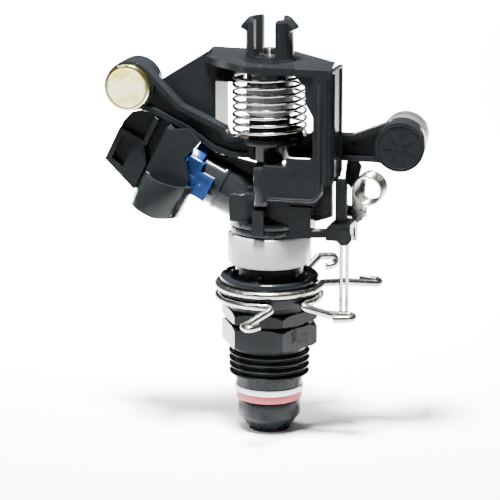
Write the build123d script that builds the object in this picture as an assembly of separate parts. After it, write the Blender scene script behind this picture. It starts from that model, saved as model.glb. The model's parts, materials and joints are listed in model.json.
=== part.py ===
from build123d import *
import os
from math import cos, radians, sin, tan

# Impact sprinkler head on a half-inch pipe-thread bearing nipple, with part-circle trip collars.
# Millimetres, +Z up along the riser axis, origin at the bottom of the bearing tube.
# The barrel and nozzle point along -X and upwards.

os.makedirs("parts", exist_ok=True)

# ---- driving dimensions -------------------------------------------------------------------
JET_ANGLE = 26.0          # climb of the barrel above the horizontal
BARREL_Z = 58.6           # height at which the barrel axis crosses the riser axis
BARREL_R = 6.5
BARREL_BORE_R = 4.9
BARREL_END = 20.3         # length of the barrel along its own axis

TUBE_R = 5.55             # bearing tube journal
TUBE_BORE_R = 3.6
TUBE_FLANGE_R = 8.15
NIPPLE_BORE_R = 5.6
NIPPLE_Z0 = 12.25
NIPPLE_Z1 = 44.9
THREAD_Z0 = 14.8
THREAD_Z1 = 23.5
THREAD_PITCH = 1.814      # 14 threads an inch
THREAD_R = 10.75
THREAD_DEPTH = 1.25
THREAD_TAPER = 1 / 32     # radius gained per millimetre of a tapered pipe thread
HEX_FLATS = 22.2
COLLAR_R = 13.25          # mean radius of the wire collars
COLLAR_WIRE_R = 1.0
COLLAR_GROOVE_R = 12.2
LOWER_COLLAR_Z = 36.1
UPPER_COLLAR_Z = 39.0

SLEEVE_R = 10.85
SLEEVE_Z0 = 44.95
SLEEVE_Z1 = 53.0
NECK_R = 8.9
TRIP_RING_R = 10.2
TRIP_RING_Z0 = 53.5
TRIP_RING_Z1 = 55.0

PLATE_Z0 = 96.2           # top plate of the bridge
PLATE_Z1 = 98.0
FRONT_Y = -11.7           # front face of the bridge
WALL = 1.8
LEG_INNER_X = 14.2        # inner faces of both bridge legs
LEG_OUTER_X = 18.8
POST_R = 6.15             # split post that a push-fit cover holds to
POST_BORE_R = 4.3
POST_TOP = 108.7
POST_SLOT = 5.5
PIN_R = 1.6               # fulcrum pin that the arm swings on

BEAM_IN = 0.9             # each arm beam lies between these distances from the arm's mid-plane
BEAM_OUT = 4.9
ARM_Z0 = 72.3
SPRING_SEAT_Z = 78.4
ARM_SPRING_R = 9.25
ARM_SPRING_WIRE_R = 0.4
LEFT_BOSS = (-36.0, 90.0)
RIGHT_BOSS = (34.5, 77.35)
RIGHT_BOSS_TURN = 6.5     # the trip-side weight is set askew by this angle
BUSHING_Z0 = 84.1
BUSHING_Z1 = 91.3

TRIP_PIVOT = (20.0, 53.6)
PAWL_PIVOT = (23.4, 58.0)
TRIP_COIL = (26.5, 65.9)
TRIP_COIL_R = 3.65
TRIP_WIRE_R = 0.42

JET = Location(
    Plane(
        origin=(0, 0, BARREL_Z),
        x_dir=(-cos(radians(JET_ANGLE)), 0, sin(radians(JET_ANGLE))),
        z_dir=(sin(radians(JET_ANGLE)), 0, cos(radians(JET_ANGLE))),
    )
)


# ---- shapes used by several pieces ----------------------------------------------------------
def box(x0, x1, y0, y1, z0, z1):
    """A block between two corners."""
    return Pos((x0 + x1) / 2, (y0 + y1) / 2, (z0 + z1) / 2) * Box(x1 - x0, y1 - y0, z1 - z0)


def disc(radius, z0, z1, x=0, y=0):
    """An upright cylinder."""
    return Pos(x, y, (z0 + z1) / 2) * Cylinder(radius, z1 - z0)


def ring(r_out, r_in, z0, z1):
    """An upright tube on the riser axis."""
    return disc(r_out, z0, z1) - disc(r_in, z0 - 1, z1 + 1)


def rod_y(x, z, radius, y0, y1):
    """A round rod along Y."""
    return Pos(x, (y0 + y1) / 2, z) * Rot(90, 0, 0) * Cylinder(radius, y1 - y0)


def rod_x(radius, x0, x1, y=0, z=0):
    """A round rod along X."""
    return Pos((x0 + x1) / 2, y, z) * Rot(0, 90, 0) * Cylinder(radius, x1 - x0)


def cone_x(r0, r1, x0, x1):
    """A cone along X, of radius r0 at x0 and r1 at x1."""
    return Pos((x0 + x1) / 2, 0, 0) * Rot(0, 90, 0) * Cone(r0, r1, x1 - x0)


def upright(y):
    """The XZ plane at a given y, seen from the -Y side."""
    return Plane((0, y, 0), x_dir=(1, 0, 0), z_dir=(0, -1, 0))


def upright_plate(points, y0, y1):
    """A plate whose outline lies in XZ and whose thickness runs from y0 to y1."""
    return extrude(upright(y1) * Polygon(*points, align=None), y1 - y0, dir=(0, -1, 0))


def flat_plate(points, z0, z1):
    """A plate whose outline lies in XY."""
    return extrude(Pos(0, 0, z0) * Polygon(*points, align=None), z1 - z0, dir=(0, 0, 1))


def turned(points):
    """A solid turned about the riser axis from (radius, height) points."""
    return revolve(Plane.XZ * Polygon(*points, align=None), Axis.Z, 360)


def bent_wire(points, radius, bend):
    """A round wire along straight runs joined by bends."""
    path = FilletPolyline(*points, radius=bend)
    start = Plane(origin=path @ 0, z_dir=path % 0)
    return sweep(start * Circle(radius), path=path)


def coil(radius, wire_r, pitch, height, centre, direction=(0, 0, 1)):
    """A helical spring body."""
    path = Helix(pitch, height, radius, center=centre, direction=direction)
    section = Plane(origin=path @ 0, z_dir=path % 0)
    return sweep(section * Circle(wire_r), path=path, is_frenet=True)


# ---- riser fitting ------------------------------------------------------------------------------
def thread_outline():
    """Crests and roots of the tapered pipe thread, from bottom to top."""
    points = []
    crests = int((THREAD_Z1 - THREAD_Z0) / THREAD_PITCH)
    for n in range(crests):
        z = THREAD_Z0 + n * THREAD_PITCH
        crest = THREAD_R - (THREAD_Z1 - z) * THREAD_TAPER
        root = crest - THREAD_DEPTH
        points += [(root, z + 0.10), (crest, z + 0.80), (crest, z + 1.05), (root, z + 1.72)]
    return points


def bearing_nipple():
    """Stationary nipple: pipe thread, wrench hex and the two collar grooves."""
    flange_z = UPPER_COLLAR_Z + COLLAR_WIRE_R + 0.1
    rib_z0 = LOWER_COLLAR_Z + COLLAR_WIRE_R + 0.1
    rib_z1 = UPPER_COLLAR_Z - COLLAR_WIRE_R - 0.1
    lip_z = LOWER_COLLAR_Z - COLLAR_WIRE_R - 0.1
    outline = [(NIPPLE_BORE_R, NIPPLE_Z0), (8.5, NIPPLE_Z0), (8.8, NIPPLE_Z0 + 0.3), (8.8, THREAD_Z0)]
    outline += thread_outline()
    outline += [
        (9.4, THREAD_Z1),
        (10.4, THREAD_Z1 + 0.1),
        (10.4, 33.0),
        (10.6, 33.0),
        (10.6, 34.2),
        (11.4, 34.6),
        (11.4, lip_z),
        (COLLAR_GROOVE_R, lip_z),
        (COLLAR_GROOVE_R, rib_z0),
        (13.0, rib_z0),
        (13.0, rib_z1),
        (COLLAR_GROOVE_R, rib_z1),
        (COLLAR_GROOVE_R, flange_z),
        (12.8, flange_z),
        (12.8, 41.3),
        (12.4, 41.7),
        (11.7, 41.7),
        (11.5, 41.1),
        (9.9, 41.1),
        (9.6, 41.7),
        (8.9, 42.3),
        (8.7, NIPPLE_Z1),
        (NIPPLE_BORE_R, NIPPLE_Z1),
    ]
    shape = turned(outline)
    hexagon = RegularPolygon(HEX_FLATS / 2, 6, major_radius=False)
    chamfer = HEX_FLATS / 2 + 1.05
    for z0, z1 in ((THREAD_Z1, 29.2), (30.1, 33.0)):
        tier = extrude(Pos(0, 0, z0) * hexagon, z1 - z0)
        tier &= turned([(0, z0), (chamfer, z0), (HEX_FLATS / 2 + 1.8, z0 + 0.6),
                        (HEX_FLATS / 2 + 1.8, z1 - 0.8), (chamfer - 0.6, z1), (0, z1)])
        shape += tier - disc(NIPPLE_BORE_R, z0 - 1, z1 + 1)
    for angle in (-8, 172):
        notch = Rot(0, 0, angle) * box(11.9, 14, -1.1, 1.1, 40.6, 43)
        shape -= notch
    for angle in range(30, 360, 60):
        shape += Rot(0, 0, angle) * box(8.4, 9.9, -0.5, 0.5, 41.5, 43.2)
    return shape


def bearing_tube():
    """Rotating tube that carries the water up through the nipple."""
    shape = turned([
        (TUBE_BORE_R, 0), (5.2, 0), (5.4, 0.3), (5.4, 1.0), (5.9, 1.2), (7.9, 3.9), (TUBE_FLANGE_R, 4.3),
        (TUBE_FLANGE_R, 8.6), (TUBE_R, 8.6), (TUBE_R, 57.4), (TUBE_BORE_R, 57.4),
    ])
    for angle in (45, 135, 225, 315):
        shape -= Rot(0, 0, angle) * box(4.3, 7, -0.6, 0.6, -1, 1.0)
    return shape


def pink_washer():
    """Lower thrust washer."""
    return ring(8.55, TUBE_R + 0.02, 8.6, 10.65)


def white_washer():
    """Upper thrust washer."""
    return ring(8.9, TUBE_R + 0.02, 10.65, 12.2)


def sand_seal():
    """Seal ring on top of the nipple, inside the dust sleeve."""
    return ring(8.4, TUBE_R + 0.03, NIPPLE_Z1 + 0.1, NIPPLE_Z1 + 0.9)


def bearing_spring():
    """Short compression spring that draws the bearing tube up."""
    return coil(7.3, 0.55, 1.9, 4.6, (0, 0, NIPPLE_Z1 + 1.55))


def dust_sleeve():
    """Light grey sleeve that covers the bearing spring."""
    shape = turned([
        (9.5, SLEEVE_Z0), (10.4, SLEEVE_Z0), (SLEEVE_R, SLEEVE_Z0 + 0.5), (SLEEVE_R, SLEEVE_Z1 - 0.7),
        (10.35, SLEEVE_Z1), (TUBE_R + 0.03, SLEEVE_Z1), (TUBE_R + 0.03, SLEEVE_Z1 - 0.9),
        (9.5, SLEEVE_Z1 - 0.9),
    ])
    return shape


# ---- collars --------------------------------------------------------------------------------------
def collar(z, start, size, first_tail, last_tail, bends):
    """A wire collar: a part ring at height z with a folded-out tail at each end.

    Each tail leads off along the ring's tangent, then goes through its listed points.
    """
    arc = CenterArc((0, 0, z), COLLAR_R, start, size)
    first_lead = arc @ 0 - (arc % 0) * bends[0][0]
    last_lead = arc @ 1 + (arc % 1) * bends[1][0]
    first = [arc @ 0, first_lead] + first_tail
    last = [arc @ 1, last_lead] + last_tail
    first_path = FilletPolyline(*first[::-1], radius=bends[0][1][::-1])
    last_path = FilletPolyline(*last, radius=bends[1][1])
    path = Wire(first_path.edges() + arc.edges() + last_path.edges())
    section = Plane(origin=path @ 0, z_dir=path % 0)
    return sweep(section * Circle(COLLAR_WIRE_R), path=path)


def lower_collar():
    """Lower wire collar: open at the front, both tails folded out in front of the fitting."""
    z = LOWER_COLLAR_Z
    right_tail = [(17.5, -6.9, z - 2.5), (23.2, -4.6, z - 2.9), (23.9, -6.9, z - 3.1), (18.9, -8.6, z - 3.2)]
    left_tail = [(-0.6, -19.6, z - 3.1), (-1.4, -21.0, z - 3.2), (0.3, -22.9, z - 3.4), (2.6, -20.6, z - 3.1)]
    bends = [(3.2, [1.05, 2.0, 1.04, 1.04]), (3.6, [1.05, 2.0, 1.1, 1.1])]
    return collar(z, -30, 306, right_tail, left_tail, bends)


def upper_collar():
    """Upper wire collar: both tails stand out beside and behind the trip pin."""
    z = UPPER_COLLAR_Z
    back_tail = [(8.8, 18.2, z + 3.2), (12.6, 20.2, z + 3.0), (12.9, 19.8, z + 0.8), (10.4, 18.3, z + 0.4)]
    side_tail = [(18.6, 5.9, z + 0.1), (27.2, 8.5, z - 0.4), (26.6, 10.9, z - 0.2), (21.6, 9.4, z + 0.1)]
    bends = [(1.6, [1.05, 1.6, 1.04, 1.04]), (1.6, [1.05, 3.0, 1.04, 1.04])]
    return collar(z, 70, 298, back_tail, side_tail, bends)


# ---- sprinkler body ---------------------------------------------------------------------------------
def barrel_solid():
    """Barrel with a reinforcing rim."""
    return JET * (rod_x(BARREL_R, -3.0, BARREL_END) + rod_x(BARREL_R + 0.35, 13.0, 14.0))


def bridge_plate():
    """Six-sided top plate."""
    outline = [
        (-17.0, -0.5), (-3.7, FRONT_Y), (LEG_OUTER_X, FRONT_Y),
        (17.0, 0.5), (3.7, 12.4), (-LEG_OUTER_X, 13.4),
    ]
    shape = flat_plate(outline, PLATE_Z0, PLATE_Z1)
    return fillet(shape.edges().filter_by(Axis.Z), 0.8)


def split_post():
    """Two-pronged split post that stands on the top plate."""
    rim = POST_TOP
    post = turned([
        (POST_BORE_R, PLATE_Z1 - 0.2), (6.7, PLATE_Z1 - 0.2), (6.7, PLATE_Z1 + 0.5), (POST_R, PLATE_Z1 + 1.0),
        (POST_R, rim - 3.2), (7.5, rim - 2.4), (7.3, rim - 1.9), (5.6, rim), (POST_BORE_R, rim),
    ])
    keep = box(-9, 9, -3.1, 3.1, rim - 3.4, rim + 1) + disc(POST_R, PLATE_Z0, rim + 1)
    post &= keep
    post += ring(6.7, POST_BORE_R, PLATE_Z1 - 0.2, PLATE_Z1 + 0.5)
    post -= box(-POST_SLOT / 2, POST_SLOT / 2, -9, 9, PLATE_Z1 + 1.4, rim + 1)
    return post


def right_leg():
    """Front half of the bridge: strip, side wall, gusset and vertical ridges."""
    z0 = 68.6
    shape = box(LEG_INNER_X, LEG_OUTER_X, FRONT_Y, FRONT_Y + WALL, z0, PLATE_Z0)
    shape += box(LEG_OUTER_X - WALL, LEG_OUTER_X, FRONT_Y, 0.4, z0, PLATE_Z0)
    shape += box(LEG_OUTER_X - 0.9, LEG_OUTER_X + 0.3, FRONT_Y + 0.6, 0.4, z0 + 1.2, PLATE_Z1 - 0.5)
    shape += upright_plate([(9.2, PLATE_Z0), (LEG_INNER_X + 0.1, PLATE_Z0), (LEG_INNER_X + 0.1, 85.5),
                            (12.4, 88.8), (12.0, 93.6)], FRONT_Y + 0.5, FRONT_Y + WALL)
    for y in (FRONT_Y + 2.2, FRONT_Y + 9.8):
        shape += box(LEG_OUTER_X + 0.2, LEG_OUTER_X + 0.7, y - 0.45, y + 0.45, z0 + 1.8, PLATE_Z1 - 1.2)
    shape += box(LEG_OUTER_X - 1.5, LEG_OUTER_X - 0.8, FRONT_Y - 0.45, FRONT_Y + 0.1, z0, PLATE_Z0 - 0.8)
    return shape


def front_panel():
    """Panel under the bridge window, with a raised bead that turns its lower corner."""
    x0, x1 = 1.2, LEG_OUTER_X - 2.2
    z0, z1 = 63.4, 72.6
    panel = box(x0, x1, FRONT_Y, FRONT_Y + WALL, z0, z1 + 2)
    lower_right = panel.edges().filter_by(Axis.Y).sort_by(Axis.Z)[:2].sort_by(Axis.X)[-1]
    panel = fillet(lower_right, 3.4)
    step_x, step_z = 7.2, z1 + 2.2
    panel -= box(x0 - 1, step_x, FRONT_Y - 1, 0, z1, z1 + 9)
    panel += box(step_x, LEG_INNER_X + 0.1, FRONT_Y, FRONT_Y + WALL, z1 - 0.1, step_z + 1.6)
    panel -= box(step_x - 1, LEG_INNER_X - 1.6, FRONT_Y - 1, 0, step_z, z1 + 9)
    panel -= rod_y(LEG_INNER_X - 1.6, step_z + 1.6, 1.6, FRONT_Y - 1, 0)
    bead_path = FilletPolyline(
        (x0 + 1.5, FRONT_Y, z0 + 0.9), (x1 - 0.7, FRONT_Y, z0 + 0.9), (x1 - 0.7, FRONT_Y, PLATE_Z0 - 1.6),
        radius=2.6,
    )
    bead = sweep(Plane(origin=bead_path @ 0, z_dir=bead_path % 0) * Circle(0.55), path=bead_path)
    return panel + bead


def left_leg():
    """Rear half of the bridge: inner wall, and the big triangular web behind the arm."""
    wall = box(-LEG_INNER_X - WALL, -LEG_INNER_X, -0.4, -FRONT_Y, 66.0, PLATE_Z0 + 0.5)
    web = upright_plate([
        (-LEG_INNER_X, PLATE_Z0 + 0.9), (-17.2, PLATE_Z0 + 1.1), (-28.0, 90.7), (-27.2, 84.0), (-22.0, 76.5),
        (-18.0, 72.0), (-LEG_INNER_X, 68.0),
    ], -0.4, 1.4)
    rim = upright_plate([
        (-17.0, PLATE_Z1 + 0.8), (-17.0, PLATE_Z0), (-27.8, 89.6), (-28.6, 91.4),
    ], -0.4, 6.4)
    head = box(-LEG_INNER_X - 0.1, -9.6, -FRONT_Y - WALL, -FRONT_Y, 89.4, PLATE_Z0 + 0.1)
    floor = box(-LEG_INNER_X - WALL, -3.0, 2.0, -FRONT_Y, 64.4, 66.4)
    nozzle_room = JET * rod_x(8.3, BARREL_END - 0.5, BARREL_END + 9)
    return (wall + web - nozzle_room) + rim + head + floor


def gussets():
    """Fairing on top of the barrel, and the gusset beside the trip mechanism."""
    fairing = [(-14.2, 68.0), (-14.2, 71.9), (-10.8, 71.9), (-6.5, 71.0), (-3.0, 70.3), (-3.0, 62.0)]
    side = [(10.0, 55.9), (17.3, 58.4), (17.3, 68.8), (10.0, 68.8)]
    return upright_plate(fairing, -1.5, 1.5) + upright_plate(side, -3.2, -1.4)


def trip_straps():
    """Fingers that reach down over the trip ring."""
    reach = TRIP_RING_R + 0.25
    left = box(-1.6, 1.4, -reach - 1.1, -reach + 0.05, 54.2, 60.6)
    left += box(-1.6, 1.4, -reach - 1.1, -7.0, 59.4, 60.9)
    right = box(7.4, 13.2, -9.3, -4.0, 55.5, 62.0)
    rear = box(-3.0, 3.0, reach - 0.05, reach + 1.1, 54.2, 60.6) + box(-3, 3, 7.0, reach + 1.1, 59.4, 60.9)
    return left + right + rear


def body():
    """Moulded body: neck, barrel, bridge and split post in one piece."""
    shape = disc(NECK_R, SLEEVE_Z1 + 0.05, 58.0) + disc(10.2, TRIP_RING_Z1 + 0.3, 57.0)
    shape += box(-8.6, 12.6, -8.0, 8.0, 56.9, 63.8)
    shape += box(-4.0, LEG_OUTER_X - 4.0, FRONT_Y + 0.6, 8.0, 63.0, 64.8)
    shape += box(-4.0, -2.4, -8.0, 8.0, 56.9, 66.0)
    shape += disc(3.4, 62.0, 71.9)
    shape += disc(2.1, 62.2, 71.6, x=0.4, y=FRONT_Y + 2.0)
    shape += box(2.2, 8.0, FRONT_Y + 0.7, -3.0, 70.2, 71.6)
    shape += barrel_solid()
    shape += gussets()
    shape += bridge_plate()
    shape += split_post()
    shape += right_leg()
    shape += front_panel()
    shape += left_leg()
    shape += trip_straps()
    shape += disc(6.0, 91.7, PLATE_Z0 + 0.1)
    shape -= disc(TUBE_R, 50, 57.4)
    shape -= JET * rod_x(BARREL_BORE_R, 0, BARREL_END + 1)
    shape -= disc(BARREL_BORE_R, 55, BARREL_Z)
    shape -= disc(PIN_R, 64.6, 120)
    shape -= disc(POST_BORE_R, PLATE_Z1 + 0.4, 120)
    return shape


def fulcrum_pin():
    """Stainless pin that the arm turns on."""
    return disc(PIN_R, 64.6, 100.9) + disc(2.6, 98.4, 99.3)


def wear_washer():
    """Plastic washer under the arm hub."""
    return ring(3.4, PIN_R + 0.03, 71.9, 72.25)


def nozzle():
    """Blue nozzle: plug, collar, tapered tip and the turning tab on its near side."""
    shape = rod_x(BARREL_BORE_R, 12.0, BARREL_END + 1.0)
    shape += rod_x(7.6, BARREL_END + 0.02, 23.6)
    shape += cone_x(4.6, 3.6, 23.5, 25.6)
    tab = box(15.4, 20.0, 6.55, 7.35, -4.3, 2.2) + box(15.4, 21.0, 6.55, 7.75, 1.6, 2.5)
    tab += box(19.4, 23.6, 4.0, 7.55, -2.6, 4.4)
    tab += box(15.4, 16.0, 6.55, 7.75, -4.3, 2.5)
    tab += Pos(18.0, 7.3, -1.0) * Sphere(0.45)
    shape += tab - rod_x(BARREL_R + 0.02, 0, BARREL_END + 0.01)
    shape -= cone_x(3.9, 1.9, 11.9, 24.0)
    shape -= rod_x(1.9, 11, 27)
    return JET * shape


def nozzle_gasket():
    """Rubber ring between the barrel's inner end and the nozzle."""
    return JET * (rod_x(BARREL_BORE_R - 0.02, 11.2, 12.0) - rod_x(3.7, 10, 13))


def stream_straightener():
    """Vaned insert that calms the water before the nozzle."""
    shape = rod_x(BARREL_BORE_R - 0.02, 5.2, 11.2) - rod_x(4.2, 4, 12)
    vanes = box(5.2, 11.2, -4.3, 4.3, -0.35, 0.35) + box(5.2, 11.2, -0.35, 0.35, -4.3, 4.3)
    return JET * (shape + vanes)


# ---- arm -----------------------------------------------------------------------------------------------
def beam(points, y0, y1):
    """An I-section beam: full outline with a pocket on each side."""
    inner = offset(Polygon(*points, align=None), -1.3)
    depth = (y1 - y0) / 2 - 0.7
    shape = upright_plate(points, y0, y1)
    for y in (y0 + depth, y1):
        shape -= extrude(upright(y) * inner, depth, dir=(0, -1, 0))
    return shape


def askew(shape):
    """Turns the trip-side boss or weight about the upright line through its front face."""
    x, y = RIGHT_BOSS[0], -2.2
    return Pos(x, y, 0) * Rot(0, 0, RIGHT_BOSS_TURN) * Pos(-x, -y, 0) * shape


def arm():
    """Swinging arm: hub, two beams and a weight socket at each end."""
    lx, lz = LEFT_BOSS
    rx, rz = RIGHT_BOSS
    shape = disc(5.4, ARM_Z0, BUSHING_Z0) + disc(8.4, SPRING_SEAT_Z - 1.6, SPRING_SEAT_Z)
    left = beam([
        (-3.0, 73.0), (-3.0, 78.3), (-9.9, 78.3), (-10.6, 80.3), (-22.4, 85.6), (-31.4, 94.6),
        (-33.5, 84.3), (-30.0, 83.4),
        (-21.0, 79.3), (-13.8, 74.3), (-9.0, 73.0),
    ], -BEAM_OUT, -BEAM_IN)
    right = beam([
        (3.0, 72.4), (3.0, 78.3), (9.9, 78.3), (10.3, 79.0), (21.2, 79.0), (31.6, 83.2), (33.0, 71.3),
        (28.2, 72.4),
    ], BEAM_IN, BEAM_OUT)
    shape += left + right
    shape += box(3.0, 8.0, 2.0, 3.4, 78.2, 80.4)
    shape += rod_y(lx, lz, 6.45, -BEAM_OUT, 4.0)
    shape += askew(rod_y(rx, rz, 6.35, -2.2, BEAM_OUT))
    shape -= rod_y(lx, lz, 5.3, -6, 3.0)
    shape -= askew(rod_y(rx, rz, 5.0, -0.6, 8) + rod_y(rx, rz, 6.15, BEAM_OUT, 16))
    shape -= disc(2.6, BUSHING_Z0 - 4.0, 90)
    shape -= disc(PIN_R + 0.05, 70, 90)
    return shape


def arm_bushing():
    """Light grey bushing pressed into the arm hub; it turns with the arm on the fulcrum pin."""
    shape = disc(POST_R, BUSHING_Z0, BUSHING_Z1) + disc(2.6, BUSHING_Z0 - 4.0, BUSHING_Z0)
    return shape - disc(PIN_R + 0.05, 70, 100)


def front_weight():
    """Plated balance weight in the nozzle-side socket, proud of its front."""
    lx, lz = LEFT_BOSS
    face = rod_y(lx, lz, 6.1, -7.4, -BEAM_OUT)
    edge = face.edges().filter_by(GeomType.CIRCLE).sort_by(Axis.Y)[0]
    return fillet(edge, 0.7) + rod_y(lx, lz, 5.3, -BEAM_OUT - 0.1, 3.0)


def rear_weight():
    """Plated balance weight in the other socket, proud of its back."""
    rx, rz = RIGHT_BOSS
    slug = rod_y(rx, rz, 6.1, BEAM_OUT, 14.9)
    edge = slug.edges().filter_by(GeomType.CIRCLE).sort_by(Axis.Y)[-1]
    return askew(fillet(edge, 0.6) + rod_y(rx, rz, 4.97, -0.5, BEAM_OUT + 0.1))


def drive_spoon():
    """Deflector under the arm: web, splash box, cross ribs and the curved drive bucket."""
    web = upright_plate([(27.4, 9.2), (27.4, -2.0), (31.0, -11.4), (33.4, -11.8), (43.8, -8.0), (44.0, 2.7),
                         (43.2, 5.6), (41.0, 7.5), (37.0, 8.8)], 1.2, 2.6)
    case = upright_plate([(33.4, -11.6), (43.8, -8.0), (43.8, 1.4), (36.6, 1.4), (33.4, -4.0)], -3.2, 4.6)
    hollow = upright_plate([(32.0, -10.0), (42.5, -7.1), (42.5, 0.1), (37.4, 0.1), (32.0, -6.0)], -1.9, 3.3)
    case -= hollow
    case -= upright_plate([(38.6, -8.0), (42.3, -7.0), (42.3, -0.3), (38.6, -0.3)], 3.0, 5.5)
    ribs = box(30.8, 32.2, 1.2, 8.2, -12.6, 8.6) + box(35.4, 36.6, 1.2, 5.2, 0.6, 8.4)
    cheek = upright_plate([(31.6, 8.6), (31.6, -5.8), (20.9, -3.4), (20.8, -0.4), (24.4, 4.2), (23.2, 7.4),
                           (22.6, 9.7), (26.6, 11.4)], 8.05, 9.2)
    centre, near, r_out, r_in = 25.5, 8.1, 6.4, 5.2
    band = [(17.5, -1.6), (33.0, -4.4), (33.0, -13.2), (24.0, -12.5), (17.5, -10.2)]
    bucket = upright_plate(band, near, near + r_out + 1) & disc(r_out, -16, 0, x=centre, y=near)
    bucket -= disc(r_in, -17, 1, x=centre, y=near)
    return JET * (web + case + ribs + cheek + bucket)


def arm_spring():
    """Return spring round the hub, with a straight tail at each end."""
    turns = 8.5
    z0 = SPRING_SEAT_Z + 0.45
    height = 16.5
    shape = coil(ARM_SPRING_R, ARM_SPRING_WIRE_R, height / turns, height, (0, 0, z0))
    return shape


# ---- trip mechanism ---------------------------------------------------------------------------------------
def trip_lever():
    """Ring round the neck with a bar, a block that holds the trip pin, and an upright."""
    px, pz = TRIP_PIVOT
    shape = ring(TRIP_RING_R, NECK_R + 0.05, TRIP_RING_Z0, TRIP_RING_Z1)
    plan = [(0, -TRIP_RING_R), (16.6, -4.4), (16.6, -1.6), (8.6, -3.0)]
    bar = flat_plate(plan, TRIP_RING_Z0 - 0.3, TRIP_RING_Z1)
    shape += bar - disc(NECK_R + 0.05, 50, 60)
    block = box(15.9, 22.4, -4.4, 3.4, 52.4, 56.8)
    block = fillet(block.edges().filter_by(Axis.Y).group_by(Axis.Z)[-1].sort_by(Axis.X)[0], 1.8)
    block -= box(px - 2.0, px + 3, -1.2, 1.2, 48, 55.3)
    shape += block
    shape += rod_y(px + 0.8, pz, 2.1, -5.0, -4.3)
    shape += box(17.9, 20.7, -2.4, -0.2, 55.4, 68.0)
    shape += box(18.6, 20.0, -0.4, 7.0, 55.4, 59.4)
    shape -= rod_y(px, pz, 0.8, -4.2, 5)
    shape += box(18.6, 24.2, 5.4, 7.0, 56.8, 59.2)
    shape -= rod_y(PAWL_PIVOT[0], PAWL_PIVOT[1], 0.7, 5, 8)
    return shape


def trip_pivot_pin():
    """Small pin that the trip pin hangs from."""
    return rod_y(TRIP_PIVOT[0], TRIP_PIVOT[1], 0.8, -4.2, 3.4)


def trip_pin():
    """Stainless hairpin whose legs stop against the collar tails."""
    px, pz = TRIP_PIVOT
    leg = 0.5
    foot = 31.7
    eye = rod_y(px, pz, 1.5, -0.6, 0.6) - rod_y(px, pz, 0.85, -2, 2)
    legs = bent_wire([(px - 0.95, 0, pz - 1.1), (px - 0.95, 0, foot), (px + 0.6, 0, foot),
                      (px + 0.6, 0, pz - 1.1)], leg, 0.74)
    return eye + legs


def pawl():
    """Stamped reversing pawl behind the upright."""
    x, z = PAWL_PIVOT
    plate = upright_plate([
        (20.8, 50.8), (22.2, 50.8), (22.2, 55.4), (23.7, 56.4), (24.1, 60.0), (24.5, 67.0), (22.6, 67.0),
        (20.8, 64.4),
    ], 3.6, 5.2)
    return plate - rod_y(x, z, 0.75, 0, 9)


def pawl_horn():
    """Moulded horn on top of the pawl that rises under the arm."""
    return upright_plate([
        (18.9, 66.6), (20.77, 64.4), (22.57, 67.0), (23.3, 70.2), (22.4, 71.7), (19.4, 71.7),
    ], 3.6, 5.2)


def pawl_pin():
    """Rivet that the pawl turns on."""
    x, z = PAWL_PIVOT
    return rod_y(x, z, 0.7, 3.1, 7.0) + rod_y(x, z, 1.1, 3.0, 3.55)


def trip_spring():
    """Over-centre torsion spring between the upright and the pawl."""
    cx, cz = TRIP_COIL
    shape = coil(TRIP_COIL_R, TRIP_WIRE_R, 1.05, 6.3, (cx, -3.4, cz), (0, 1, 0))
    return shape


PIECES = {
    "bearing_nipple": bearing_nipple,
    "bearing_tube": bearing_tube,
    "pink_washer": pink_washer,
    "white_washer": white_washer,
    "sand_seal": sand_seal,
    "bearing_spring": bearing_spring,
    "dust_sleeve": dust_sleeve,
    "lower_collar": lower_collar,
    "upper_collar": upper_collar,
    "body": body,
    "fulcrum_pin": fulcrum_pin,
    "wear_washer": wear_washer,
    "nozzle": nozzle,
    "nozzle_gasket": nozzle_gasket,
    "stream_straightener": stream_straightener,
    "arm": arm,
    "arm_bushing": arm_bushing,
    "front_weight": front_weight,
    "rear_weight": rear_weight,
    "drive_spoon": drive_spoon,
    "arm_spring": arm_spring,
    "trip_lever": trip_lever,
    "trip_pivot_pin": trip_pivot_pin,
    "trip_pin": trip_pin,
    "pawl": pawl,
    "pawl_horn": pawl_horn,
    "pawl_pin": pawl_pin,
    "trip_spring": trip_spring,
}

for name, make in PIECES.items():
    export_step(make(), f"parts/{name}.step")
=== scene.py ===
import json
import math

import bmesh
import bpy
from mathutils import Matrix, Vector


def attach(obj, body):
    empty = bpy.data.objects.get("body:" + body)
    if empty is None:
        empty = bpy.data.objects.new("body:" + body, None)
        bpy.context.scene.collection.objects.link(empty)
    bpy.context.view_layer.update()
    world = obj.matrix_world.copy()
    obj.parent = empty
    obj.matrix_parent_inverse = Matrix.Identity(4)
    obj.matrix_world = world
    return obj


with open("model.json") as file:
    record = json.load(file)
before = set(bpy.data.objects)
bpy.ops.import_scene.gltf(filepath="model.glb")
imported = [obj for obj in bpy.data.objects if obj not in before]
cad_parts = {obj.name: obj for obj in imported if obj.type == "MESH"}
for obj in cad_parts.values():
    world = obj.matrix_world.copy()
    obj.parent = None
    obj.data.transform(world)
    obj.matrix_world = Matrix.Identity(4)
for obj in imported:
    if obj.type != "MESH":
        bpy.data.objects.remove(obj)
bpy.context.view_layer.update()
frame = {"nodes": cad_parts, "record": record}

MM = 0.001

# ---- camera ----
AZIMUTH = math.radians(15.0)
ELEVATION = math.radians(14.5)
DISTANCE = 0.80
SENSOR = 36.0
VIEW_WIDTH = 129.25 * MM     # width that the view takes in at the target
TARGET_Z = 47.8 * MM
TARGET_RIGHT = -5.04 * MM
CLIP_NEAR = 0.01
CLIP_FAR = 10.0


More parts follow.
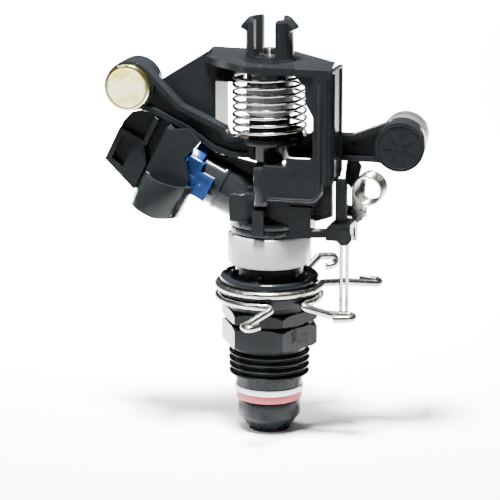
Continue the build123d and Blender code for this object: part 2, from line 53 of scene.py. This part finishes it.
def add_camera():
    """Long-lens camera at the height and angle of a product photograph."""
    cam = bpy.data.cameras.new("camera")
    cam.sensor_width = SENSOR
    cam.lens = SENSOR * DISTANCE / VIEW_WIDTH
    cam.clip_start = CLIP_NEAR
    cam.clip_end = CLIP_FAR
    eye = bpy.data.objects.new("camera", cam)
    bpy.context.collection.objects.link(eye)
    right = Vector((math.cos(AZIMUTH), math.sin(AZIMUTH), 0))
    back = Vector((
        math.sin(AZIMUTH) * math.cos(ELEVATION),
        -math.cos(AZIMUTH) * math.cos(ELEVATION),
        math.sin(ELEVATION),
    ))
    target = Vector((0, 0, TARGET_Z)) + right * TARGET_RIGHT
    eye.location = target + back * DISTANCE
    eye.rotation_euler = (-back).to_track_quat("-Z", "Y").to_euler()
    bpy.context.scene.camera = eye


# ---- light and floor ----
ROOM_STRENGTH = 0.15
FLOOR_HALF = 3.0             # half of the floor's side, in metres
FLOOR_COLOUR = (0.95, 0.95, 0.95, 1)
FLOOR_ROUGHNESS = 0.9
OBJECT_MIDDLE = (0, 0, 0.06)


def soft_box(name, location, size, watts, target=OBJECT_MIDDLE, spread=180):
    """A rectangular studio light that faces a target; spread is its beam in degrees."""
    data = bpy.data.lights.new(name, "AREA")
    data.shape = "RECTANGLE"
    data.size, data.size_y = size
    data.energy = watts
    data.spread = math.radians(spread)
    light = bpy.data.objects.new(name, data)
    bpy.context.collection.objects.link(light)
    light.location = location
    light.rotation_euler = (Vector(target) - light.location).to_track_quat("-Z", "Y").to_euler()


def add_lights():
    """Dim white room and four soft boxes; the backdrop light falls on the floor behind the object."""
    world = bpy.data.worlds.new("studio")
    bpy.context.scene.world = world
    world.use_nodes = True
    room = world.node_tree.nodes["Background"]
    room.inputs["Color"].default_value = (1.0, 1.0, 1.0, 1.0)
    room.inputs["Strength"].default_value = ROOM_STRENGTH
    soft_box("backdrop", (-0.19, 0.60, 0.70), (0.34, 0.90), watts=26.0, target=(-0.19, 0.60, 0), spread=40)
    soft_box("overhead", (-0.02, -0.13, 0.75), (0.16, 0.13), watts=7.5, target=(-0.03, 0.11, 0), spread=50)
    soft_box("key", (-0.40, -0.50, 0.60), (0.16, 0.22), watts=3.0)
    soft_box("rim", (-0.30, 0.10, 0.55), (0.05, 0.30), watts=1.2)


def add_floor():
    """Plain pale floor."""
    mesh = bpy.data.meshes.new("floor")
    corners = [(x * FLOOR_HALF, y * FLOOR_HALF, 0) for x, y in ((-1, -1), (1, -1), (1, 1), (-1, 1))]
    mesh.from_pydata(corners, [], [(0, 1, 2, 3)])
    floor = bpy.data.objects.new("floor", mesh)
    bpy.context.collection.objects.link(floor)
    mat = bpy.data.materials.new("floor_paper")
    mat.use_nodes = True
    shader = mat.node_tree.nodes["Principled BSDF"]
    shader.inputs["Base Color"].default_value = FLOOR_COLOUR
    shader.inputs["Roughness"].default_value = FLOOR_ROUGHNESS
    mesh.materials.append(mat)


# ---- materials ----
MIX_A, MIX_B, MIX_RESULT = 6, 7, 2     # the Mix node's colour sockets
NOISE_LOW, NOISE_HIGH = 0.3, 0.7       # the stretch of a noise that the full change of a finish uses


class Nodes:
    """Small helper that builds a node material."""

    def __init__(self, name):
        self.mat = bpy.data.materials.new(name)
        self.mat.use_nodes = True
        self.tree = self.mat.node_tree
        self.shader = self.tree.nodes["Principled BSDF"]
        self.coords = self.tree.nodes.new("ShaderNodeTexCoord")

    def add(self, kind, operation=None, **inputs):
        """Adds a node; keyword inputs are sockets by name."""
        node = self.tree.nodes.new(kind)
        if operation:
            node.operation = operation
        for key, value in inputs.items():
            node.inputs[key].default_value = value
        return node

    def link(self, a, b):
        self.tree.links.new(a, b)

    def noise(self, scale, detail, roughness=0.5):
        """Object-space noise, scale in features per metre."""
        node = self.add("ShaderNodeTexNoise", Scale=scale, Detail=detail, Roughness=roughness)
        self.link(self.coords.outputs["Object"], node.inputs["Vector"])
        return node.outputs["Fac"]

    def ramp(self, value, low, high, out_low, out_high):
        """Maps a value's range to another range, clamped."""
        node = self.add("ShaderNodeMapRange")
        for key, number in (("From Min", low), ("From Max", high), ("To Min", out_low), ("To Max", out_high)):
            node.inputs[key].default_value = number
        self.link(value, node.inputs["Value"])
        return node.outputs["Result"]

    def mix(self, factor, a, b):
        """Mixes two colours by a factor."""
        node = self.add("ShaderNodeMix")
        node.data_type = "RGBA"
        self.link(factor, node.inputs["Factor"])
        node.inputs[MIX_A].default_value = (*a, 1)
        node.inputs[MIX_B].default_value = (*b, 1)
        return node.outputs[MIX_RESULT]

    def uneven_colour(self, noise, dark, light, low=NOISE_LOW, high=NOISE_HIGH):
        """Colour that wanders between two tones."""
        tint = self.mix(self.ramp(noise, low, high, 0.0, 1.0), dark, light)
        self.link(tint, self.shader.inputs["Base Color"])

    def uneven_gloss(self, noise, least, most):
        """Roughness that wanders between two values."""
        self.link(self.ramp(noise, NOISE_LOW, NOISE_HIGH, least, most), self.shader.inputs["Roughness"])

    def bump(self, height, strength, distance):
        """Adds a bump to the shader."""
        node = self.add("ShaderNodeBump", Strength=strength, Distance=distance)
        self.link(height, node.inputs["Height"])
        self.link(node.outputs["Normal"], self.shader.inputs["Normal"])


def plastic(name, dark, light, rough, ior=1.5):
    """Moulded plastic: faint flow marks in colour, uneven gloss and a fine skin texture."""
    m = Nodes(name)
    flow = m.noise(scale=90.0, detail=4.0)
    gloss = m.noise(scale=260.0, detail=5.0, roughness=0.6)
    skin = m.noise(scale=2600.0, detail=3.0, roughness=0.6)
    m.uneven_colour(flow, dark, light)
    m.uneven_gloss(gloss, rough * 0.8, rough * 1.25)
    m.bump(skin, strength=0.05, distance=0.2 * MM)
    m.shader.inputs["IOR"].default_value = ior
    return m.mat


def metal(name, dark, light, rough):
    """Bright metal: uneven tone and roughness with fine drawing marks."""
    m = Nodes(name)
    tone = m.noise(scale=180.0, detail=4.0)
    polish = m.noise(scale=900.0, detail=5.0, roughness=0.7)
    drawing = m.noise(scale=3200.0, detail=2.0)
    m.uneven_colour(tone, dark, light, low=0.35, high=0.65)
    m.uneven_gloss(polish, rough * 0.7, rough * 1.5)
    m.shader.inputs["Metallic"].default_value = 1.0
    m.bump(drawing, strength=0.1, distance=0.1 * MM)
    return m.mat


def turned_metal(name, dark, light, rough, centre, rim, ring_pitch):
    """Plated metal turned about an axis along Y: fine rings on its face and a bright rim."""
    m = Nodes(name)
    offset = m.add("ShaderNodeVectorMath", "SUBTRACT")
    offset.inputs[1].default_value = centre
    m.link(m.coords.outputs["Object"], offset.inputs[0])
    flat = m.add("ShaderNodeVectorMath", "MULTIPLY")
    flat.inputs[1].default_value = (1.0, 0.0, 1.0)
    m.link(offset.outputs[0], flat.inputs[0])
    length = m.add("ShaderNodeVectorMath", "LENGTH")
    m.link(flat.outputs[0], length.inputs[0])
    radius = length.outputs["Value"]
    turns = m.add("ShaderNodeMath", "MULTIPLY")
    turns.inputs[1].default_value = 2 * math.pi / ring_pitch
    wave = m.add("ShaderNodeMath", "SINE")
    m.link(radius, turns.inputs[0])
    m.link(turns.outputs[0], wave.inputs[0])
    blotches = m.noise(scale=330.0, detail=3.0)
    m.uneven_colour(blotches, dark, light, low=0.38, high=0.62)
    rim_rough, face_metallic, ring_height = 0.12, 0.45, 0.03
    m.link(m.ramp(radius, rim - 0.3 * MM, rim + 0.2 * MM, rough, rim_rough), m.shader.inputs["Roughness"])
    m.link(m.ramp(radius, rim - 0.1 * MM, rim + 0.1 * MM, face_metallic, 1.0), m.shader.inputs["Metallic"])
    step = m.ramp(radius, rim - 0.2 * MM, rim + 0.2 * MM, 0.0, 1.0)
    height = m.add("ShaderNodeMath", "MULTIPLY_ADD")
    height.inputs[1].default_value = ring_height
    m.link(wave.outputs[0], height.inputs[0])
    m.link(step, height.inputs[2])
    m.bump(height.outputs[0], strength=0.6, distance=0.25 * MM)
    return m.mat


def metal_with_painted_groove_shade(name, dark, light, rough, start, span, edges):
    """Plated metal with near-black painted shade in two narrow grooves round its turned rim.

    The grooves lie across Y, at fractions (edges) of a span that begins at start.
    """
    m = Nodes(name)
    split = m.add("ShaderNodeSeparateXYZ")
    m.link(m.coords.outputs["Object"], split.inputs[0])
    along = m.ramp(split.outputs["Y"], start, start + span, 0.0, 1.0)
    bands = m.add("ShaderNodeValToRGB")
    m.link(along, bands.inputs["Fac"])
    ramp = bands.color_ramp
    ramp.elements[0].color = ramp.elements[1].color = (*light, 1)
    # painted shade: each groove gets the near-black tone, with the light plate tone again at its shoulders
    groove, shoulder = 0.020, 0.045
    for edge in edges:
        for offset, tone in ((-shoulder, light), (-groove, dark), (groove, dark), (shoulder, light)):
            ramp.elements.new(edge + offset).color = (*tone, 1)
    polish = m.noise(scale=900.0, detail=5.0, roughness=0.7)
    m.link(bands.outputs["Color"], m.shader.inputs["Base Color"])
    m.uneven_gloss(polish, rough * 0.7, rough * 1.5)
    m.shader.inputs["Metallic"].default_value = 0.94
    m.bump(bands.outputs["Color"], strength=1.0, distance=1.2 * MM)
    return m.mat


def rubber(name, dark, light, rough):
    """Matt rubber or fibre washer."""
    m = Nodes(name)
    tone = m.noise(scale=500.0, detail=5.0)
    skin = m.noise(scale=3000.0, detail=4.0, roughness=0.7)
    m.uneven_colour(tone, dark, light)
    m.shader.inputs["Roughness"].default_value = rough
    m.bump(skin, strength=0.12, distance=0.2 * MM)
    return m.mat


BLACK_DARK, BLACK_LIGHT = (0.0045, 0.0055, 0.0062), (0.0065, 0.0078, 0.0086)
MATERIALS = {
    "black_plastic": plastic("black_plastic", BLACK_DARK, BLACK_LIGHT, 0.16, ior=1.23),
    "blue_plastic": plastic("blue_plastic", (0.002, 0.013, 0.060), (0.003, 0.019, 0.080), 0.20, ior=1.33),
    "grey_plastic": plastic("grey_plastic", (0.20, 0.20, 0.205), (0.24, 0.24, 0.245), 0.22),
    "mid_grey_plastic": plastic("mid_grey_plastic", (0.10, 0.105, 0.11), (0.14, 0.145, 0.15), 0.28),
    "white_plastic": plastic("white_plastic", (0.86, 0.86, 0.86), (0.90, 0.90, 0.90), 0.35),
    "pink_rubber": rubber("pink_rubber", (0.19, 0.008, 0.019), (0.25, 0.016, 0.031), 0.50),
    "dark_rubber": rubber("dark_rubber", (0.02, 0.02, 0.02), (0.03, 0.03, 0.03), 0.6),
    "stainless": metal("stainless", (0.27, 0.265, 0.25), (0.40, 0.39, 0.365), 0.20),
}
FITTING_BLACK = plastic("fitting_black", BLACK_DARK, BLACK_LIGHT, 0.16, ior=1.16)
FITTING_NODES = ("bearing_nipple", "bearing_tube")
FRONT_WEIGHT_AXIS = (-36.0 * MM, 0.0, 90.0 * MM)
FRONT_WEIGHT_RIM = 5.0 * MM
FRONT_WEIGHT_RING_PITCH = 0.35 * MM
REAR_WEIGHT_START = 6.0 * MM
REAR_WEIGHT_SPAN = 10.0 * MM
REAR_WEIGHT_GROOVES = (0.52, 0.74)
WELD_DISTANCE = 0.001 * MM
EDGE_WIDTH = 0.22 * MM
SHARP_ANGLE = math.radians(38)


def front_weight_metal(obj):
    """Yellow plate, turned about the weight's own axis."""
    centre = obj.matrix_world.inverted() @ Vector(FRONT_WEIGHT_AXIS)
    return turned_metal("zinc_turned", (0.72, 0.62, 0.13), (0.98, 0.96, 0.58), 0.30,
                        centre, FRONT_WEIGHT_RIM, FRONT_WEIGHT_RING_PITCH)


def rear_weight_metal():
    """Pale plate with painted shade in two grooves round the rim."""
    # the near-black tone below is painted shade for the grooves; the pale tone is the plate's own
    return metal_with_painted_groove_shade("zinc_grooves_painted_shade", (0.02, 0.02, 0.018), (0.80, 0.78, 0.70), 0.13,
                        REAR_WEIGHT_START, REAR_WEIGHT_SPAN, REAR_WEIGHT_GROOVES)


def node_material(name, obj, slot):
    """A CAD node's own finish where it has one, and its slot's otherwise."""
    if name == "front_weight":
        return front_weight_metal(obj)
    if name == "rear_weight":
        return rear_weight_metal()
    if name in FITTING_NODES:
        return FITTING_BLACK
    return MATERIALS[slot]


def dress_cad():
    """Gives every CAD node its material and breaks its sharp edges."""
    slot_of = {s["node"]: s["material_slot"] for s in frame["record"]["subparts"]}
    for name, obj in frame["nodes"].items():
        obj.data.materials.clear()
        obj.data.materials.append(node_material(name, obj, slot_of[name]))
        weld = obj.modifiers.new("weld", "WELD")
        weld.merge_threshold = WELD_DISTANCE
        edge = obj.modifiers.new("edge", "BEVEL")
        edge.width = EDGE_WIDTH
        edge.segments = 2
        edge.limit_method = "ANGLE"
        edge.angle_limit = SHARP_ANGLE
        edge.harden_normals = name != "drive_spoon"


# ---- small moulded details ----
BAR_HEIGHT = 0.12 * MM
BAR_TAPER = 0.4              # how far a bar's top draws in, as a share of its height
BAR_SUNK = 0.3               # how far its base goes below its place, as a share of its height
ROW_STEP = 1.5               # from row to row, in cell heights
UPRIGHT_WIDTH = 0.4          # an upright bar's width, in cell widths
LEVEL_WIDTH = 0.35           # a level bar's width, in cell heights
SPOKE_HEIGHT = 0.14 * MM
SPOKE_WIDTH = 0.45 * MM
SPOKE_LENGTH = 0.55          # in ring radii
SPOKE_MIDDLE = 0.45          # from the ring's centre, in ring radii
RING_PROFILE = ((0.2, -0.05), (0.12, 0.12), (-0.12, 0.12), (-0.2, -0.05))  # mm from radius and face
RING_STEPS = 40
FIRST_SPOKE = 0.5            # angle of the first spoke, in radians


def finish_piece(bm, name, body, slot):
    """Makes the built mesh a piece that rides on a body."""
    bmesh.ops.recalc_face_normals(bm, faces=bm.faces)
    mesh = bpy.data.meshes.new(name)
    bm.to_mesh(mesh)
    bm.free()
    mesh.materials.append(MATERIALS[slot])
    obj = bpy.data.objects.new(name, mesh)
    bpy.context.collection.objects.link(obj)
    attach(obj, body)


def bar_block(bm, centre, along, across, out, size):
    """Adds one small tapered block: size is length, width and height."""
    length, width, height = size
    draw = height * BAR_TAPER
    base, top = [], []
    for u, v in ((-1, -1), (1, -1), (1, 1), (-1, 1)):
        edge = centre + along * (u * length / 2) + across * (v * width / 2)
        rim = centre + along * (u * (length / 2 - draw)) + across * (v * (width / 2 - draw))
        base.append(bm.verts.new(edge - out * height * BAR_SUNK))
        top.append(bm.verts.new(rim + out * height))
    bm.faces.new(top)
    for k in range(4):
        bm.faces.new((base[k], base[(k + 1) % 4], top[(k + 1) % 4], top[k]))
    bm.faces.new(base[::-1])


def raised_marks(name, body, start, along, up, rows, count, pitch, cell):
    """Rows of small raised bars, upright and level, with a gap here and there.

    The bars stand on the plane through start that along and up span; rows follow each other downwards.
    """
    start, along, up = Vector(start) * MM, Vector(along).normalized(), Vector(up).normalized()
    out = along.cross(up)
    width, height = cell[0] * MM, cell[1] * MM
    bm = bmesh.new()
    for row in range(rows):
        for k in range(count):
            gap = (3 * k + 2 * row) % 7 == 5
            upright = (k + row) % 3 != 1
            if gap:
                continue
            place = start + along * (k * pitch * MM) - up * (row * height * ROW_STEP)
            if upright:
                bar_block(bm, place, up, along, out, (height, width * UPRIGHT_WIDTH, BAR_HEIGHT))
            else:
                bar_block(bm, place, along, up, out, (width, height * LEVEL_WIDTH, BAR_HEIGHT))
    finish_piece(bm, name, body, "black_plastic")


def face_mark(name, body, centre, radius, spokes, turn):
    """A raised ring with a few spokes, facing -Y but turned by some degrees about Z."""
    centre = Vector(centre) * MM
    spin = Matrix.Rotation(math.radians(turn), 3, "Z")
    across, up, out = spin @ Vector((1, 0, 0)), Vector((0, 0, 1)), spin @ Vector((0, -1, 0))
    bm = bmesh.new()
    for k in range(spokes):
        angle = 2 * math.pi * k / spokes + FIRST_SPOKE
        ray = across * math.cos(angle) + up * math.sin(angle)
        side = across * -math.sin(angle) + up * math.cos(angle)
        size = (radius * SPOKE_LENGTH * MM, SPOKE_WIDTH, SPOKE_HEIGHT)
        bar_block(bm, centre + ray * (radius * SPOKE_MIDDLE * MM), ray, side, out, size)
    loops = []
    for wider, height in RING_PROFILE:
        loop = []
        for k in range(RING_STEPS):
            angle = 2 * math.pi * k / RING_STEPS
            ray = across * math.cos(angle) + up * math.sin(angle)
            loop.append(bm.verts.new(centre + ray * ((radius + wider) * MM) + out * (height * MM)))
        loops.append(loop)
    for a, b in zip(loops, loops[1:] + loops[:1]):
        for k in range(RING_STEPS):
            bm.faces.new((a[k], a[(k + 1) % RING_STEPS], b[(k + 1) % RING_STEPS], b[k]))
    finish_piece(bm, name, body, "black_plastic")


def add_details():
    """Raised marks in place of lettering; places and sizes are in millimetres."""
    x_axis, z_axis, down = (1, 0, 0), (0, 0, 1), (0, 0, -1)
    hex_along = (math.cos(math.radians(30)), math.sin(math.radians(30)), 0)
    raised_marks("strip_marks", "head", (15.0, -11.7, 92.5), down, x_axis,
                 rows=1, count=13, pitch=1.25, cell=(0.8, 0.8))
    raised_marks("panel_marks", "head", (9.2, -11.7, 71.4), x_axis, z_axis,
                 rows=1, count=3, pitch=0.8, cell=(0.5, 1.1))
    raised_marks("hex_marks", "riser_fitting", (7.2, -8.65, 27.8), hex_along, z_axis,
                 rows=2, count=8, pitch=0.72, cell=(0.5, 1.2))
    raised_marks("beam_marks", "arm", (21.4, 1.6, 76.4), x_axis, z_axis,
                 rows=1, count=7, pitch=1.1, cell=(0.7, 1.3))
    face_mark("boss_mark", "arm", (34.5, -2.2, 77.35), radius=5.6, spokes=7, turn=6.5)


add_camera()
add_lights()
add_floor()
dress_cad()
add_details()
